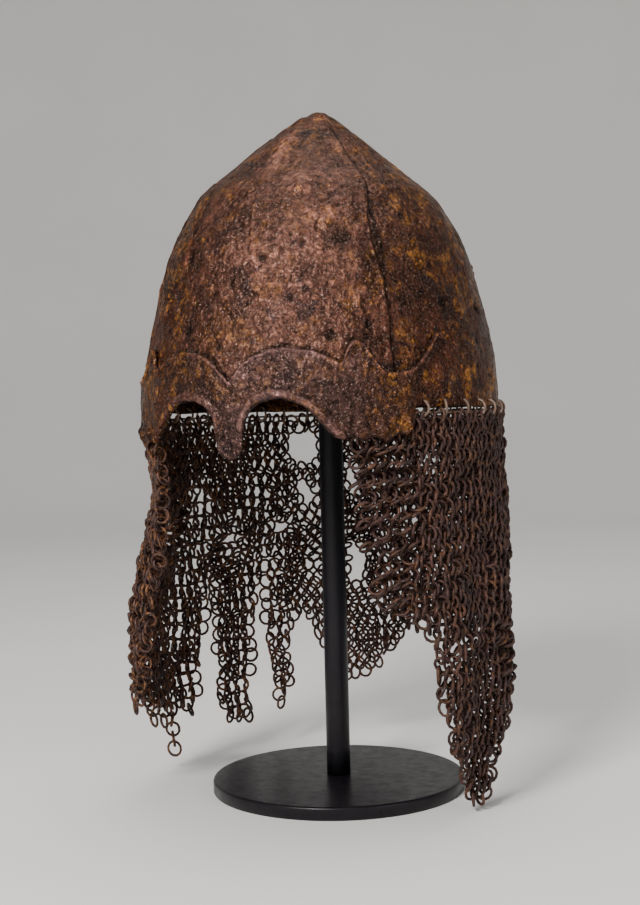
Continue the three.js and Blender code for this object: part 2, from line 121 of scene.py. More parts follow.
# Lower edge of the nose guard: share of its half width, share of its drop.
NASAL_EDGE = [(0, 1), (.45, .975), (.72, .9), (.86, .78), (.96, .58), (1, .42)]
# Lower edge of the mask: degrees from the nose, share of the cheeks' drop.
EYE_EDGE = [
    (5, .42), (5.7, .22), (7, -.03), (9, -.2), (12, -.33), (15.7, -.375), (19.5, -.27),
    (23, -.03), (26, .34), (28.5, .72), (31, 1)]
CHEEK_EDGE = [
    (33.5, 1.08), (36.5, .95), (41, 1.02), (45.8, 1.1), (50, .92), (53.8, .9), (54.8, 0),
    (56, -.7), (58.5, -1.2), (61.5, -1.6), (64.6, -2), (67.8, -2.4)]
# Lowest ring of the curtain: degrees from the nose, share of the curtain's length.
MAIL_LEFT_EDGE = [
    (38, .2), (40.5, .42), (43.5, .43), (48, .455), (53.5, .48), (58, .56), (61, .75),
    (65, .85), (71, .88), (75, .97), (78.5, 1), (82, .97), (88, .9), (93, .8), (100, .71),
    (107, .67), (114, .64), (126, .59), (131, .68), (136, .69), (141, .58), (152, .65),
    (164, .62), (170, .67), (175, .68), (179.9, .68)]
MAIL_RIGHT_EDGE = [
    (40, .18), (44, .36), (48, .58), (53, .7), (58, .75), (61, .79), (64.5, .74), (69, .75),
    (73, .82), (78, .8), (83, .84), (87, .86), (89.5, .87), (92.5, .86), (96.5, .92),
    (99.5, .74), (102, .6), (104.5, .48), (107, .62), (110, .88), (115, .94), (120, .92),
    (122.5, .75), (125, .54), (127.5, .52), (129.5, .82), (132.5, .91), (135.5, .83),
    (138, .62), (141.5, .59), (145, .66), (148.5, .75), (152, .62), (155.5, .78),
    (160, .84), (170, .77), (179.9, .68)]
# Tears: middle in degrees and share of the length, then half sizes in the same units.
MAIL_LEFT_TEARS = [
    (46.8, .1, 1.7, .016), (47.2, .26, 1.5, .014), (54, .265, 1.7, .012), (55, .41, 1.5, .016),
    (42.4, .325, 1.1, .015), (128, .2, 4.5, .055), (143, .34, 4, .045), (166, .15, 5, .06)]
MAIL_RIGHT_TEARS = [
    (143, .085, 6.2, .062), (144.5, .228, 3.6, .03), (134, .33, 3.7, .032),
    (114.3, .297, 2.3, .022), (98, .215, 3.6, .017), (161, .19, 3.2, .062),
    (161, .465, 3.4, .072), (74, .3, 3, .03)]


def smooth(value, low, high):
    share = np.clip((np.asarray(value, float) - low) / (high - low), 0, 1)
    return share * share * (3 - 2 * share)


def bell(value, middle, reach):
    """1 at the middle, falling to nothing on both sides."""
    return np.exp(-((value - middle) / reach) ** 2)


def unit(vectors):
    return vectors / np.linalg.norm(vectors, axis=-1, keepdims=True)


def circle(count):
    return np.linspace(0, 2 * np.pi, count, endpoint=False)


def straight(table, place):
    rows = np.array(table, float)
    return np.interp(place, rows[:, 0], rows[:, 1])


def curved(table, place):
    """The table's value with a smooth curve through its rows, as the solids have it."""
    rows = np.array(table, float)
    x, y = rows[:, 0], rows[:, 1]
    place = np.clip(np.asarray(place, float), x[0], x[-1])
    i = np.clip(np.searchsorted(x, place, side="left") - 1, 0, len(x) - 2)
    before, after = np.maximum(i - 1, 0), np.minimum(i + 2, len(x) - 1)
    span = x[i + 1] - x[i]
    s = (place - x[i]) / span
    slope_a = (y[i + 1] - y[before]) / (x[i + 1] - x[before])
    slope_b = (y[after] - y[i]) / (x[after] - x[i])
    return (y[i] + s * s * (3 - 2 * s) * (y[i + 1] - y[i])
            + span * slope_a * s * (1 - s) ** 2 - span * slope_b * s * s * (1 - s))


def skull_at(turn, height):
    down = (SKULL_TOP - height) / SKULL_HEIGHT
    out = curved(SKULL_OUTLINE, np.minimum(down, 1))
    angle = np.radians(turn)
    return np.stack([RIM_HALF_WIDTH * out * np.sin(angle),
                     -RIM_HALF_LENGTH * out * np.cos(angle), height + 0 * angle], -1)


def skull_normal(turn, height):
    step = 0.5
    upper = np.minimum(height + step, SKULL_TOP - step)
    along = skull_at(turn + step, height) - skull_at(turn - step, height)
    up = skull_at(turn, upper) - skull_at(turn, height - step)
    return unit(np.cross(along, up))


def skull_point(turn, height, lift=0.0):
    turn, height = np.broadcast_arrays(np.asarray(turn, float), np.asarray(height, float))
    lift = np.broadcast_to(np.asarray(lift, float), turn.shape)
    return skull_at(turn, height) + skull_normal(turn, height) * lift[..., None]


def signed(turn):
    """The turn counted both ways from the nose, -180 to 180."""
    return np.where(turn > 180, turn - 360, turn)


# Noise that gives the same values each run. The last number of each call is its seed.
def hashed(cells, seed):
    cells = cells.astype(np.int64)
    mixed = (cells[..., 0] * 73856093 ^ cells[..., 1] * 19349663 ^ cells[..., 2] * 83492791
             ^ (seed * 2654435))
    mixed = (mixed ^ (mixed >> 13)) * 1274126177 & 0x7FFFFFFF
    mixed = (mixed ^ (mixed >> 11)) * 668265263 & 0x7FFFFFFF
    return (mixed ^ (mixed >> 15)) % 100003 / 100003.0


def noise(points, size, seed=0):
    """Smooth noise from -1 to 1 with bumps of about this size."""
    place = points / size
    base = np.floor(place)
    share = place - base
    share = share * share * (3 - 2 * share)
    total = np.zeros(points.shape[:-1])
    for corner in np.ndindex(2, 2, 2):
        weight = np.ones_like(total)
        for axis in range(3):
            weight = weight * (share[..., axis] if corner[axis] else 1 - share[..., axis])
        total += weight * hashed(base + np.array(corner), seed)
    return 2 * total - 1


def layered(points, size, layers, seed=0, fade=0.5):
    return sum(noise(points, size / 2 ** k, seed + k) * fade ** k for k in range(layers))


def pits(points, size, share, seed=0):
    """Round pits, 1 at the middle of each: one in some of the cells of this size."""
    place = points / size
    base = np.floor(place)
    deepest = np.zeros(points.shape[:-1])
    for corner in np.ndindex(3, 3, 3):
        cell = base + np.array(corner) - 1
        middle = cell + np.stack([hashed(cell, seed + k) for k in (1, 2, 3)], -1)
        radius = 0.16 + 0.34 * hashed(cell, seed + 4)
        here = hashed(cell, seed + 5) < share
        away = np.linalg.norm(place - middle, axis=-1)
        deepest = np.maximum(deepest, here * np.clip(1 - (away / radius) ** 2, 0, 1) * radius * 2)
    return deepest


def scabs(points, size, seed=0):
    """Flakes with raised edges, like lifted scale: high along thin broken lines."""
    lines = 1 - np.abs(noise(points, size, seed)) * 5
    return np.clip(lines, 0, 1) * smooth(noise(points, size * 1.6, seed + 1), -0.1, 0.4)


def from_place(points, turn, height, radius):
    """Distance to a place on the skull, 1 at this radius."""
    return np.linalg.norm(points - skull_at(turn, height), axis=-1) / radius


def with_marks(relief, points, marks, steepness):
    """The relief with round lumps and dents: degrees from the nose, height, radius, how proud."""
    for turn, height, radius, proud in marks:
        relief = relief + proud * np.exp(-from_place(points, turn, height, radius) ** steepness)
    return relief


def nearest_run(points, corners):
    """Distance to a run of straight lines."""
    nearest = np.full(points.shape[:-1], 1e9)
    for start, end in zip(corners[:-1], corners[1:]):
        along = end - start
        share = np.clip(((points - start) @ along) / (along @ along), 0, 1)
        away = np.linalg.norm(points - start - share[..., None] * along, axis=-1)
        nearest = np.minimum(nearest, away)
    return nearest


# Meshes
def add_mesh(name, points, quads, material, shade=0.5, ends=()):
    """A piece from points in mm about the helmet's axis. shade, 0 to 1, goes to its material:
    painted light and shade on the iron plates, a random tone on the rings.
    """
    mesh = bpy.data.meshes.new(name)
    points = (np.asarray(points).reshape(-1, 3) + HELMET_SHIFT) * MM
    faces = [np.asarray(quads).ravel(), *ends]
    corners = np.concatenate(faces).astype(np.int32)
    sizes = np.array([4] * len(quads) + [len(end) for end in ends], np.int32)
    starts = np.concatenate([[0], np.cumsum(sizes)[:-1]]).astype(np.int32)
    mesh.vertices.add(len(points))
    mesh.vertices.foreach_set("co", points.astype(np.float32).ravel())
    mesh.loops.add(len(corners))
    mesh.loops.foreach_set("vertex_index", corners)
    mesh.polygons.add(len(sizes))
    mesh.polygons.foreach_set("loop_start", starts)
    mesh.polygons.foreach_set("use_smooth", np.ones(len(sizes), bool))
    mesh.update(calc_edges=True)
    values = np.broadcast_to(np.clip(np.ravel(shade), 0, 1), len(points)).astype(np.float32)
    mesh.attributes.new("shade", "FLOAT", "POINT").data.foreach_set("value", values)
    mesh.materials.append(material)
    piece = bpy.data.objects.new(name, mesh)
    bpy.context.scene.collection.objects.link(piece)
    return piece


def settle(piece, slot, *nodes):
    """The piece rides on the one body and stands for these nodes, which it hides. slot is not used.
    """
    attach(piece, "root")
    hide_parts(*nodes)


def wall_faces(columns, rows):
    """Quads of a closed wall between two grids, the outer one first. Column i, row j of each."""
    outer, inner = np.arange(2 * columns * rows).reshape(2, columns, rows)
    strips = [
        (outer[:-1, :-1], outer[1:, :-1], outer[1:, 1:], outer[:-1, 1:]),
        (inner[:-1, :-1], inner[:-1, 1:], inner[1:, 1:], inner[1:, :-1]),
        (inner[:-1, 0], inner[1:, 0], outer[1:, 0], outer[:-1, 0]),
        (outer[:-1, -1], outer[1:, -1], inner[1:, -1], inner[:-1, -1]),
        (outer[0, :-1], outer[0, 1:], inner[0, 1:], inner[0, :-1]),
        (inner[-1, :-1], inner[-1, 1:], outer[-1, 1:], outer[-1, :-1])]
    return np.concatenate([np.stack([side.ravel() for side in strip], -1) for strip in strips])


def wall(name, outer, inner, material, shade):
    """A closed plate between two grids, with painted shade on its inner face."""
    quads = wall_faces(*outer.shape[:2])
    # Painted shade: the inner face darker.
    shades = np.stack([shade, 0.3 + 0 * shade])
    return add_mesh(name, np.stack([outer, inner]), quads, material, shades)


def turned_faces(around, rows):
    """Quads and the two end faces of a body turned about an axis. Column i, row j."""
    index = np.arange(around * rows).reshape(around, rows)
    after = np.roll(index, -1, axis=0)
    quads = np.stack([index[:, :-1], after[:, :-1], after[:, 1:], index[:, 1:]], -1).reshape(-1, 4)
    return quads, [index[::-1, 0], index[:, -1]]


def turned(around, radius, level):
    """Points of an outline turned about the Z axis, from the X axis round."""
    angle = circle(around)
    return np.stack([np.outer(np.cos(angle), radius), np.outer(np.sin(angle), radius),
                     np.outer(np.ones(around), level)], -1)


# Materials
class Nodes:
    """Short calls for building a material's node tree."""

    def __init__(self, name):
        self.material = bpy.data.materials.new(name)
        self.material.use_nodes = True
        self.tree = self.material.node_tree
        self.tree.nodes.clear()
        self.place = self.add("ShaderNodeTexCoord").outputs["Object"]

    def add(self, kind, **values):
        node = self.tree.nodes.new(kind)
        for key, value in values.items():
            setattr(node, key, value)
        return node

    def feed(self, socket, value):
        if isinstance(value, (int, float)):
            socket.default_value = value
        elif isinstance(value, tuple):
            socket.default_value = (*value, 1)
        else:
            self.tree.links.new(value, socket)

    def feed_all(self, node, values):
        for key, value in values.items():
            self.feed(node.inputs[key], value)

    def noise(self, scale, detail=6.0, rough=0.6, warp=0.0, seed=0.0):
        node = self.add("ShaderNodeTexNoise", noise_dimensions="4D")
        self.feed_all(node, {"Scale": scale, "Detail": detail, "Roughness": rough,
                             "Distortion": warp, "W": seed, "Vector": self.place})
        return node.outputs["Fac"]

    def cells(self, scale, feature="F1"):
        node = self.add("ShaderNodeTexVoronoi", feature=feature)
        self.feed_all(node, {"Scale": scale, "Vector": self.place})
        return node.outputs["Distance"]

    def shade(self):
        return self.add("ShaderNodeAttribute", attribute_name="shade").outputs["Fac"]

    def places(self):
        parts = self.add("ShaderNodeSeparateXYZ")
        self.feed(parts.inputs["Vector"], self.place)
        return parts.outputs

    def ramp(self, source, stops):
        node = self.add("ShaderNodeValToRGB")
        ramp = node.color_ramp
        while len(ramp.elements) < len(stops):
            ramp.elements.new(0.5)
        for element, (place, color) in zip(ramp.elements, stops):
            element.position = place
            element.color = (*color, 1) if isinstance(color, tuple) else (color, color, color, 1)
        self.feed(node.inputs["Fac"], source)
        return node.outputs["Color"]

    def mix(self, share, a, b, blend="MIX"):
        node = self.add("ShaderNodeMix", data_type="RGBA", blend_type=blend)
        sockets = {s.identifier: s for s in node.inputs}
        self.feed(sockets["Factor_Float"], share)
        self.feed(sockets["A_Color"], a)
        self.feed(sockets["B_Color"], b)
        return next(s for s in node.outputs if s.identifier == "Result_Color")

    def multiplied(self, color, by, share=1.0):
        return self.mix(share, color, by, "MULTIPLY")

    def math(self, kind, a, b):
        node = self.add("ShaderNodeMath", operation=kind)
        self.feed(node.inputs[0], a)
        self.feed(node.inputs[1], b)
        return node.outputs[0]

    def times(self, a, b):
        return self.math("MULTIPLY", a, b)

    def bump(self, height, distance, strength=1.0, before=None):
        node = self.add("ShaderNodeBump")
        self.feed_all(node, {"Distance": distance, "Strength": strength, "Height": height})
        if before is not None:
            self.feed(node.inputs["Normal"], before)
        return node.outputs["Normal"]

    def shader(self, color, roughness, normal, metallic=0.0, specular=0.5, tint=(1.0, 1.0, 1.0)):
        node = self.add("ShaderNodeBsdfPrincipled")
        self.feed_all(node, {"Base Color": color, "Roughness": roughness, "Metallic": metallic,
                             "Specular IOR Level": specular, "Specular Tint": tint,
                             "Normal": normal})
        out = self.add("ShaderNodeOutputMaterial")
        self.feed(out.inputs["Surface"], node.outputs["BSDF"])
        return self.material


def toned(tone, by):
    return tuple(by * channel for channel in tone)


def front_share(n):
    """1 where the plate faces forward and a little left, 0 on the flanks and the back."""
    places = n.places()
    aside = n.math("ABSOLUTE", n.math("SUBTRACT", places["X"], 0.022), 0.0)
    near = n.ramp(n.times(aside, 10.0), [(0.25, 1.0), (0.75, 0.0)])
    ahead = n.ramp(n.times(places["Y"], -10.0), [(0.0, 0.0), (0.5, 1.0)])
    return n.times(near, ahead)


def iron_color(n, tone, ochre, seed):
    """Speckled browns, painted shade that darkens and warms the flanks and back, ochre rust most on
    the flanks, blue-black patches, small dark pits, painted shade in hollows and painted highlights
    where the surface stands proud (from the shade attribute), and painted glints.
    """
    color = n.ramp(n.noise(30, 10, 0.74, 0.7, seed), [
        (0.33, toned(tone, 0.30)), (0.45, toned(tone, 0.62)), (0.54, tone),
        (0.66, toned(tone, 1.55))])
    # Fine grain of the iron, its brightest specks also painted sparkle.
    grain_and_painted_sparkle = n.noise(240, 7, 0.82, 0.3, seed + 1)
    color = n.multiplied(color, n.ramp(grain_and_painted_sparkle, [(0.40, 0.36), (0.5, 0.9), (0.60, 1.75)]))
    front = front_share(n)
    # Painted shade: the flanks and the back darker and warmer than the front.
    flank_painted_shade = n.ramp(front, [(0.0, (0.56, 0.36, 0.24)), (1.0, (0.95, 0.92, 0.92))])
    color = n.multiplied(color, flank_painted_shade)
    flank = n.math("SUBTRACT", 1.0, n.times(front, 0.72))
    rust = n.ramp(n.noise(30, 12, 0.88, 1.0, seed + 3), [(0.505, 0.0), (0.545, 1.0)])
    rust_color = n.ramp(n.noise(230, 6, 0.75, 0.2, seed + 5), [
        (0.42, (0.030, 0.010, 0.003)), (0.5, (0.130, 0.046, 0.009)), (0.57, (0.42, 0.17, 0.030))])
    color = n.mix(n.times(n.times(rust, flank), ochre), color, rust_color)
    dark = n.ramp(n.noise(44, 12, 0.8, 0.9, seed + 8), [(0.55, 0.0), (0.59, 1.0)])
    color = n.mix(n.times(dark, 0.78), color, (0.016, 0.010, 0.012))
    color = n.multiplied(color, n.ramp(n.cells(150), [(0.05, 0.35), (0.22, 1.0)]), 0.75)
    # Painted light from the shade attribute: painted shade in hollows, on inner faces and along
    # seams and edges, painted highlights where the surface stands proud and in the skull's lighter
    # patches, with the skull's darker patches too.
    relief = n.ramp(n.shade(), [(0.05, 0.18), (0.40, 0.75), (0.60, 1.15), (1.0, 2.3)])
    color = n.multiplied(color, relief)
    glint = n.ramp(n.noise(820, 3, 0.7, 0, seed + 11), [(0.56, 0.0), (0.64, 1.0)])
    return n.mix(n.times(glint, 0.5), color, (0.34, 0.23, 0.19))


def worn_iron(name, tone, ochre, seed):
    """Brown, waxed old iron with pits and scale."""
    n = Nodes(name)
    color = iron_color(n, tone, ochre, seed)
    sheen = n.noise(75, 8, 0.75, 0.4, seed + 2)
    roughness = n.ramp(sheen, [(0.35, 0.22), (0.55, 0.33), (0.75, 0.5)])
    coarse = n.bump(n.noise(150, 4, 0.62, 0.6, seed + 6), 0.0034, 0.9)
    scale = n.bump(n.cells(380, "SMOOTH_F1"), 0.0016, 0.7, coarse)
    fine = n.bump(n.noise(900, 2, 0.5, 0, seed + 9), 0.0006, 0.7, scale)
    return n.shader(color, roughness, fine, 0.5, 0.3, (0.5, 0.42, 0.36))


def rusty_wire(name, tone, orange, seed):
    """Rusted wire, a little different from ring to ring, more orange on the wearer's right."""
    n = Nodes(name)
    color = n.ramp(n.noise(60, 8, 0.75, 0.6, seed), [
        (0.32, toned(tone, 0.42)), (0.5, tone), (0.66, toned(tone, 1.8))])
    color = n.multiplied(color, n.ramp(n.shade(), [(0.0, 0.55), (0.5, 1.0), (1.0, 1.5)]))
    rust = n.ramp(n.noise(150, 8, 0.78, 0.8, seed + 4), [(0.50, 0.0), (0.60, 1.0)])
    crust = n.ramp(n.noise(500, 5, 0.7, 0, seed + 7), [
        (0.36, (0.13, 0.042, 0.012)), (0.62, (0.38, 0.16, 0.045))])
    aside = n.ramp(n.times(n.places()["X"], -12.0), [(0.2, orange), (1.0, 2.2 * orange)])
    color = n.mix(n.times(rust, aside), color, crust)
    roughness = n.ramp(n.noise(260, 5, 0.7, 0, seed + 2), [(0.35, 0.38), (0.7, 0.78)])
    coarse = n.bump(n.noise(420, 3, 0.6, 0, seed + 6), 0.0010, 0.8)
    fine = n.bump(n.noise(1500, 2, 0.5, 0, seed + 9), 0.0003, 0.5, coarse)
    return n.shader(color, roughness, fine, 0.3, 0.45)


def black_paint(name):
    n = Nodes(name)
    color = n.ramp(n.noise(90, 5, 0.6, 0.2, 1), [
        (0.3, (0.005, 0.004, 0.006)), (0.7, (0.009, 0.008, 0.010))])
    scuff = n.ramp(n.noise(38, 9, 0.72, 0.5, 11), [(0.58, 0.0), (0.68, 1.0)])
    color = n.mix(n.times(scuff, 0.25), color, (0.03, 0.027, 0.03))
    roughness = n.ramp(n.noise(160, 5, 0.6, 0.3, 4), [(0.3, 0.26), (0.7, 0.42)])
    fine = n.bump(n.noise(900, 3, 0.6, 0, 7), 0.00015, 0.3)
    return n.shader(color, roughness, fine, 0.0, 0.22)


def pale_floor(name):
    n = Nodes(name)
    color = n.ramp(n.noise(3, 3, 0.5, 0, 2), [
        (0.3, (0.76, 0.755, 0.745)), (0.7, (0.79, 0.785, 0.775))])
    return n.shader(color, 0.75, n.bump(n.noise(200, 3, 0.5, 0, 3), 0.0002, 0.2), 0.0, 0.25)


SKULL_IRON = worn_iron("skull_iron", (0.096, 0.043, 0.031), 0.9, 2.0)
BROW_IRON = worn_iron("brow_iron", (0.070, 0.037, 0.033), 0.6, 31.0)
LOOP_IRON = rusty_wire("loop_iron", (0.190, 0.130, 0.100), 0.3, 5.0)
MAIL_IRON = rusty_wire("mail_iron", (0.038, 0.016, 0.013), 0.3, 17.0)
STAND_BLACK = black_paint("stand_black")

# Skull plates
PLATE_HEAD = RIM_HEIGHT + SKULL_HEIGHT * (1 - PLATE_TOP)
# Marks that show on the skull: degrees from the nose, height, radius, how proud (in mm).
SKULL_MARKS = [
    (30.2, 281, 2.6, -1.5), (42, 287, 2.4, -1.4), (41.5, 279.5, 2.2, -1.3),
    (71.8, 301.5, 3.4, -1.3), (-18.5, 287, 3, -1.2), (19.8, 368.5, 5, 2.2),
    (19.8, 373.5, 3, 1), (13.5, 407.5, 3.6, -0.9), (-24, 330, 2.6, -1),
    (8, 327, 2.4, -0.9), (62, 352, 2.6, -1.1), (95, 300, 3.2, -1.2),
    (150, 330, 3.4, -1.3), (205, 300, 3, -1.2), (260, 345, 3.4, -1.3),
    (305, 310, 2.8, -1.1), (133, 276, 5, -1.4), (228, 360, 4.6, 0.9),
    (283, 282, 3, -1.2), (176, 396, 3.2, -1)]
# Raised lines: each a run of (degrees from the nose, height), then how proud they are in mm.
SKULL_LINES = [
    ([(23.2, 354), (26.5, 349.5), (30.5, 347.8), (32.8, 350.5), (32, 355.5)], 1),
    ([(41.8, 306.5), (39.6, 301.5), (39, 297.5), (39.8, 293)], 1),
    ([(10, 310.5), (17, 309), (25, 310), (32.8, 310.5)], 0.7),
    ([(1.8, 357.5), (3, 345), (4.2, 333), (7, 318)], 0.45),
    ([(-30, 350), (-26, 336), (-27, 322)], 0.6),
    ([(120, 330), (128, 322), (139, 325)], 0.8),
    ([(214, 330), (221, 317), (233, 312)], 0.8)]
# How far the front plate's edge strays from its seam, in degrees, by height.
SEAM_WANDER = [
    (240, .2), (266, 0), (291, .4), (305, .3), (319, -.5), (333, -2.3), (351, -2.4),
    (362, -.6), (372, 1.6), (384, 1.2), (400, .2), (427, 0)]
# Painted highlights (the lighter patches) and darker patches: degrees from the nose, height, radius
# in mm, change of shade.
SKULL_HIGHLIGHTS_AND_PATCHES = [
    (14, 334, 27, .13), (34, 338, 8, -.32), (22, 317, 7, -.3), (-1, 316, 8, -.28),
    (19, 371, 9, .25), (12, 288, 17, .16), (47, 322, 7, -.25), (-35, 320, 12, -.15),
    (62, 300, 13, -.2)]


def skull_edge(turn):
    return RIM_HEIGHT + 0.27 * BROW_RISE * (1 - smooth(np.abs(turn), 29, 33))


def skull_swell(points):
    """The dents and swellings that are wider than a thumb."""
    return 0.8 * noise(points, 44, 3) + 0.5 * noise(points, 20, 9)


def skull_relief(points, turn, height):
    """How far the worn surface stands from the plain one."""
    relief = skull_swell(points) + 0.24 * layered(points, 9, 3, 21, 0.6)
    relief = relief + 0.42 * scabs(points, 9, 120) + 0.32 * scabs(points, 5, 130)
    eaten = smooth(noise(points, 26, 40), -0.3, 0.4)
    relief = relief - (0.25 + 0.55 * eaten) * pits(points, 5.5, 0.5, 50)
    relief = relief - 0.35 * pits(points, 3.0, 0.5, 71)
    keel = bell(turn, 0, 5.0) * smooth(height, 372, 396) * (1 - smooth(height, 408, 420))
    relief = with_marks(relief + 0.9 * keel, points, SKULL_MARKS, 2.6)
    wobble = 0.8 + 0.4 * noise(points, 3.5, 140)
    for run, proud in SKULL_LINES:
        corners = [skull_at(*place) for place in run]
        relief = relief + 2.0 * proud * wobble * bell(nearest_run(points, corners), 0, 1.5)
    return relief


def skull_painted_light_and_patches(points, turn, height, relief):
    """Painted highlights where the surface stands proud, painted shade in its hollows, lighter and
    darker patches, and a painted shadow just above the mask.
    """
    # Painted light: lighter where small things stand proud, darker in pits and hollows.
    shade = 0.5 + 0.55 * (relief - skull_swell(points))
    # Painted highlights and darker patches, with ragged outlines.
    ragged = 0.35 * layered(points, 9, 3, 180)
    for *place, change in SKULL_HIGHLIGHTS_AND_PATCHES:
        shade = shade + change * smooth(from_place(points, *place) + ragged, 1.15, 0.7)
    # Painted shadow: a dark line on the skull just above the mask's top edge.
    from_nose = np.abs(signed(turn))
    over_mask = height - RIM_HEIGHT - BROW_RISE * straight(BROW_TOP, from_nose)
    beside_mask = from_nose < BROW_TOP[-1][0] + 0.5
    return shade - 0.45 * bell(over_mask, 0.9, 1.2) * beside_mask


def plate_grid(start, end, columns, rows, ragged):
    """Turns and heights over a plate, and its foot's height. ragged lets its side edges stray."""
    share = np.linspace(0, 1, columns)[:, None]
    rise = np.linspace(0, 1, rows)[None, :]
    turn = start + (end - start) * share + 0 * rise
    foot = skull_edge(signed(turn))
    height = foot + rise ** 0.93 * (PLATE_HEAD - foot)
    if ragged:
        index = np.arange(columns)[:, None]
        plain = skull_at(turn, height)
        for column, sign in ((0, -1), (columns - 1, 1)):
            stray = straight(SEAM_WANDER, height) * (1 if sign * start < 0 else 0.6)
            stray = stray + 0.4 * layered(plain[[column]], 12, 3, 90 + sign)
            near = np.exp(-(np.abs(index - column) / 9.0) ** 1.5)
            turn = turn + near * sign * stray * smooth(height, 422, 405)
    worn = 0.55 * layered(skull_at(turn, height), 9, 3, 33)
    return turn, height + np.exp(-(height - foot) / 1.4) * worn, foot


def skull_plate(part, start, end, columns, rows, lift, on_top):
    """One plate. on_top: its side edges lie over its neighbours and are worn thin and ragged."""
    turn, height, foot = plate_grid(start, end, columns, rows, on_top)
    points = skull_at(turn, height)
    relief = skull_relief(points, turn, height) * (0.3 + 0.7 * smooth(height - foot, 0, 3))
    shade = skull_painted_light_and_patches(points, turn, height, relief)
    index = np.arange(columns)[:, None]
    degrees_in = np.minimum(index, columns - 1 - index) * (end - start) / (columns - 1)
    if on_top:
        across = degrees_in * 2.0 * np.clip((SKULL_TOP - height) / 90, 0.1, 1)
        relief = relief - bell(across, 0, 1.3) * (1.05 + 0.5 * noise(points, 7, 150))
        relief = relief + 0.7 * bell(across, 2.6, 1.5)
        # Painted highlight on the lip just in from the edge, painted shadow along the edge where it
        # drops to the plate below.
        shade = shade + 0.25 * bell(across, 1.6, 1.3) - 0.8 * bell(across, 0, 1.0)
        inner_lift = lift + 0.3 * relief * smooth(across, 0, 4) - SKULL_PLATE
    else:
        from_seam = np.abs(degrees_in - SEAM_OVERLAP)
        bare = smooth(degrees_in, SEAM_OVERLAP - 0.4, SEAM_OVERLAP + 0.8) + 0 * height
        crust = bell(from_seam, 0.7, 1.5) * smooth(noise(points, 11, 160), -0.35, 0.5)
        relief = np.minimum(relief, 0.15 + 5 * bare) + 1.5 * crust * bare
        # Painted shadow along the line where the plate above ends.
        shade = shade - 0.8 * bell(from_seam, 0, 1.0)
        lift = lift + (-LAYER - 0.9) * smooth(height, 392, 418)
        inner_lift = lift - SKULL_PLATE + 0.2 * relief
    outer = skull_point(turn, height, lift + relief)
    inner = skull_point(turn, height, np.minimum(inner_lift, lift + relief - 0.5))
    piece = wall(f"skull_{part}_surface", outer, inner, SKULL_IRON, shade)
    settle(piece, "skull_iron", f"skull_{part}_plate")


SIDE_NEAR, SIDE_FAR = FRONT_SEAM - SEAM_OVERLAP, REAR_SEAM + SEAM_OVERLAP
skull_plate("front", -FRONT_SEAM, FRONT_SEAM, 190, 180, 0, True)
skull_plate("rear", REAR_SEAM, 360 - REAR_SEAM, 170, 120, 0, True)
skull_plate("left", SIDE_NEAR, SIDE_FAR, 150, 150, LAYER, False)
skull_plate("right", 360 - SIDE_FAR, 360 - SIDE_NEAR, 140, 140, LAYER, False)

# The tip's skirt: how far below the skull's top, how far out from it. Its crown: radius, height.
TIP_SKIRT = [
    (8, -4), (9, -4), (10.5, -3), (12.2, -2), (13.2, -0.9), (12.4, -0.25),
    (10.8, 0.15), (9, 0.45), (7.4, 0.7), (6, 0.9), (4.8, 1), (3.74, 1)]
TIP_CROWN = [(7, -2.3), (5.2, -1), (3.6, -0.2), (2.2, 0.2), (0.8, 0.35)]


def tip_cap():
    """The blunt tip: a worn lump that runs out thin over the plates' upper ends."""
    below, lifts = np.array(TIP_SKIRT).T
    crown_radius, crown_height = np.array(TIP_CROWN).T
    edge = skull_point(90 + 0 * below, SKULL_TOP - below, lifts)
    radius = np.concatenate([[2.0], edge[:, 0], crown_radius])
    height = np.concatenate([[SKULL_TOP - 7.5], edge[:, 2], SKULL_TOP + crown_height])
    path = np.concatenate([[0], np.cumsum(np.hypot(np.diff(radius), np.diff(height)))])
    around, rows = 96, 64
    steps = np.linspace(0, path[-1], rows)
    radius, height = np.interp(steps, path, radius), np.interp(steps, path, height)
    points = np.roll(turned(around, radius, height), around // 4, axis=0)
    points = points * [1, RIM_HALF_LENGTH / RIM_HALF_WIDTH, 1]
    out = unit(points - [0, 0, SKULL_TOP - 24])
    worn = smooth(steps, path[5], path[8])[None, :]
    relief = worn * (0.45 * noise(points, 6, 7) + 0.25 * noise(points, 2.6, 8)
                     + 0.3 * scabs(points, 5, 130))
    points = points + out * relief[..., None]
    quads, ends = turned_faces(around, rows)
    # Painted highlights where the tip stands proud, painted shade in its hollows.
    piece = add_mesh("tip_surface", points, quads, SKULL_IRON, 0.5 + 0.5 * relief, ends)
    settle(piece, "skull_iron", "apex_cap")


tip_cap()

# Brow mask
NASAL_TURN = math.degrees(math.asin(NASAL_WIDTH / 2 / RIM_HALF_WIDTH))
# Lumps of rust and of rings rusted fast: degrees from the nose, height, radius, how proud (mm).
BROW_LUMPS = [
    (38.8, 227.5, 4.2, 3.4), (45.5, 227.5, 4.2, 3.6), (52.6, 229, 4.2, 3.4),
    (42, 225.5, 3, 2), (49.4, 225.8, 3.2, 2), (28.2, 237.6, 2.9, 2.2),
    (33.5, 226, 3.2, 1.6), (-38, 228, 3.4, 2), (-46, 227, 3.8, 2.4),
    (-52, 229, 3.2, 2), (-31, 226, 2.8, 1.4), (37.5, 276.6, 3, 0.7),
    (-37.5, 276.6, 3, 0.7), (52, 242, 3, 0.9), (35, 240, 3.4, 0.8),
    (37.5, 272.5, 2, -2.6), (-37.5, 272.5, 2, -2.6), (0.3, 219.5, 1.4, -1.4),
    (-2.6, 231.5, 1.4, -1.2)]
# Where the cheeks' lower edge hangs down in knobs, in degrees from the nose.
CHEEK_KNOBS = (38.8, 45.6, 52.6)


